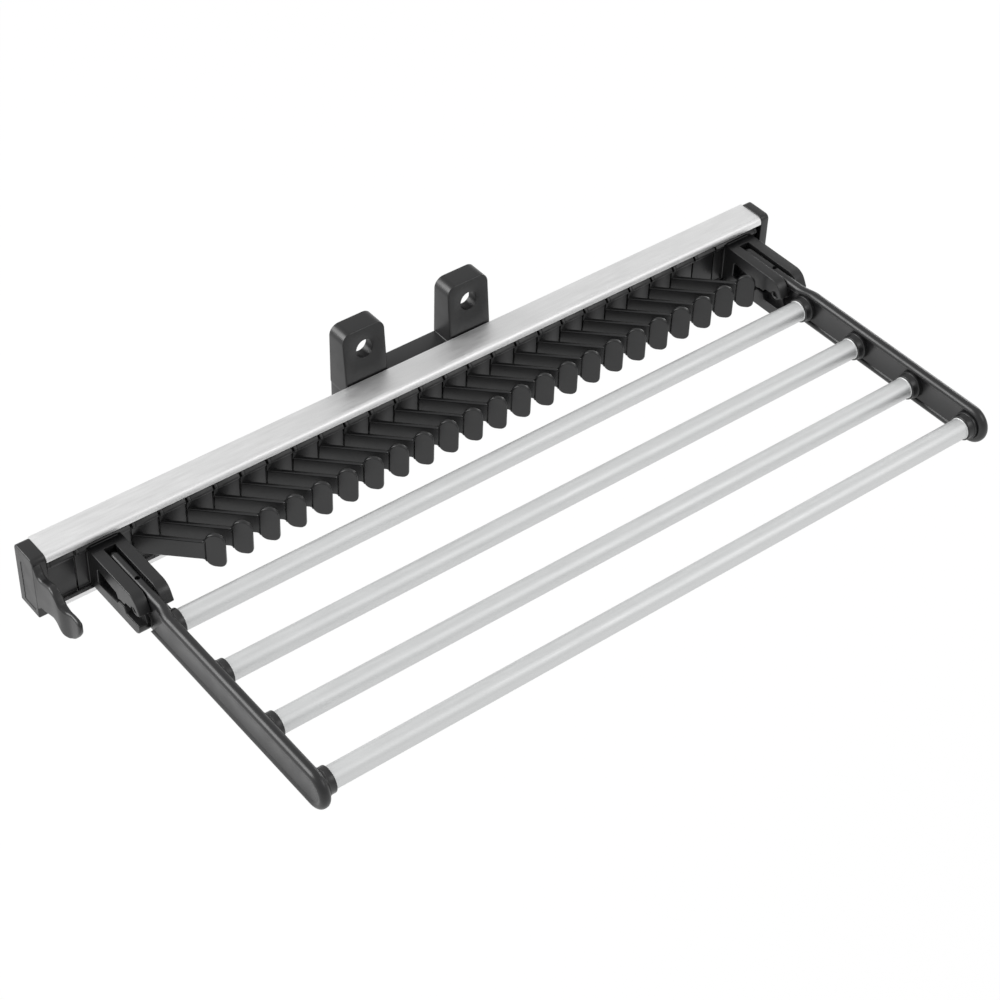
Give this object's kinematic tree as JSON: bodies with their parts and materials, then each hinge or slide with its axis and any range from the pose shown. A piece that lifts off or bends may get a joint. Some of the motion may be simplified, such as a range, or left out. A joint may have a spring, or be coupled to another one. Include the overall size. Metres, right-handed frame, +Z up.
{
  "type": "pull out trouser rack",
  "caption": "Wall mounted pull out rack: an aluminium rail slides on a bracket and carries angled tie hooks and a fold-up frame of trouser rods.",
  "frame": {"origin": "midway between the bracket's two bolt holes, at the back ends of their bores, 7 mm in front of the wall", "axes": "+X along the rail towards its rear end, away from the pull tab, +Y into the wall, +Z up"},
  "size_m": [0.4929, 0.231, 0.0735],
  "materials": {
    "black_moulding": "fine matt texture",
    "anodised_rail": "satin anodised, drawn lines along the profile",
    "anodised_rod": "satin anodised",
    "steel_pin": "plain",
    "glide_plastic": "smooth natural acetal"
  },
  "bodies": {
    "bracket": {"wall_bracket": "black_moulding", "front_glide_shoe": "glide_plastic", "rear_glide_shoe": "glide_plastic"},
    "rail": {"rail_profile": "anodised_rail", "front_end_cap": "black_moulding", "rear_end_cap": "black_moulding", "front_blank_panel": "black_moulding", "rear_blank_panel": "black_moulding", "front_clevis": "black_moulding", "rear_clevis": "black_moulding", "front_pivot_pin": "steel_pin", "rear_pivot_pin": "steel_pin", "tie_hook_01": "black_moulding", "tie_hook_02": "black_moulding", "tie_hook_03": "black_moulding", "tie_hook_04": "black_moulding", "tie_hook_05": "black_moulding", "tie_hook_06": "black_moulding", "tie_hook_07": "black_moulding", "tie_hook_08": "black_moulding", "tie_hook_09": "black_moulding", "tie_hook_10": "black_moulding", "tie_hook_11": "black_moulding", "tie_hook_12": "black_moulding", "tie_hook_13": "black_moulding", "tie_hook_14": "black_moulding", "tie_hook_15": "black_moulding", "tie_hook_16": "black_moulding", "tie_hook_17": "black_moulding", "tie_hook_18": "black_moulding", "tie_hook_19": "black_moulding", "tie_hook_20": "black_moulding", "tie_hook_21": "black_moulding", "tie_hook_22": "black_moulding", "tie_hook_23": "black_moulding"},
    "trouser_frame": {"front_arm": "black_moulding", "rear_arm": "black_moulding", "trouser_rod_1": "anodised_rod", "trouser_rod_2": "anodised_rod", "trouser_rod_3": "anodised_rod", "trouser_rod_4": "anodised_rod"}
  },
  "joints": [
    {"name": "rail_slide", "type": "slide", "parent": "bracket", "child": "rail", "axis": [1, 0, 0], "range_m": [-0.175, 0.184]},
    {"name": "frame_fold", "type": "hinge", "parent": "rail", "child": "trouser_frame", "pos_m": [0.004, -0.069, -0.0362], "axis": [-1, 0, 0], "range_deg": [0, 100]}
  ]
}
